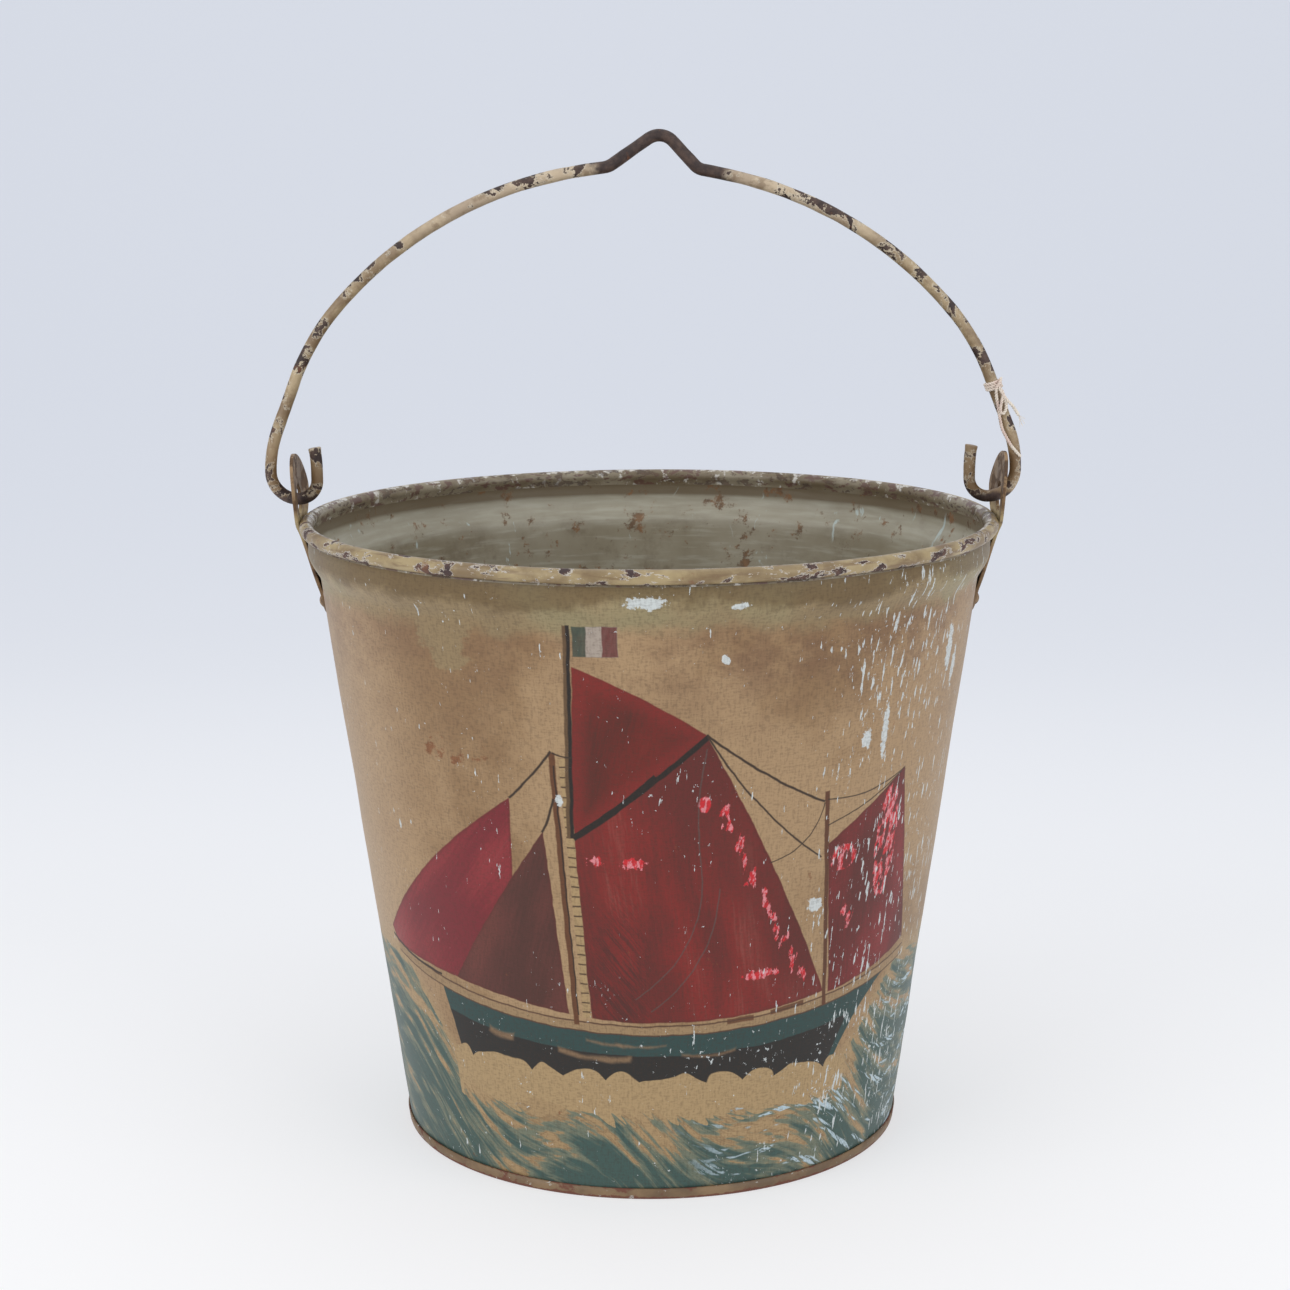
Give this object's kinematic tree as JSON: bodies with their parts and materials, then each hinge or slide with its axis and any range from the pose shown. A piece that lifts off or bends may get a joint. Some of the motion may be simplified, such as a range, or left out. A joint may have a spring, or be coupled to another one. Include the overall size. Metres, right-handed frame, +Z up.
{
  "type": "pail",
  "caption": "Tapered sheet-metal pail with a wired rim, folded foot seam, riveted ears and a swinging wire bail with a crook.",
  "frame": {"origin": "centre of the foot ring, on the surface the pail stands on", "axes": "+Z up, +X towards the right ear along the bail's hinge line, +Y towards the back"},
  "size_m": [0.3038, 0.2798, 0.4028],
  "materials": {
    "wall_paint": "aged hand-painted oil paint over sheet metal, satin, chipped",
    "pan_paint": "worn paint with rust along the folded edge",
    "wire_steel": "plain drawn wire, hidden in the curl",
    "ear_iron": "thin brown and cream paint over rusty iron",
    "rivet_iron": "painted over",
    "bail_paint": "cream paint chipped to dark iron",
    "string_cotton": "soft twisted cotton"
  },
  "bodies": {
    "bucket": {"wall_front": "wall_paint", "wall_back": "wall_paint", "rim_wire": "wire_steel", "bottom_pan": "pan_paint", "ear_left": "ear_iron", "ear_right": "ear_iron", "rivet_left_front": "rivet_iron", "rivet_left_back": "rivet_iron", "rivet_right_front": "rivet_iron", "rivet_right_back": "rivet_iron"},
    "bail": {"bail_handle": "bail_paint", "tag_string": "string_cotton"}
  },
  "joints": [
    {"name": "bail_swing", "type": "hinge", "parent": "bucket", "child": "bail", "pos_m": [0, 0, 0.2576], "axis": [1, 0, 0], "range_deg": [-91, 91]}
  ]
}
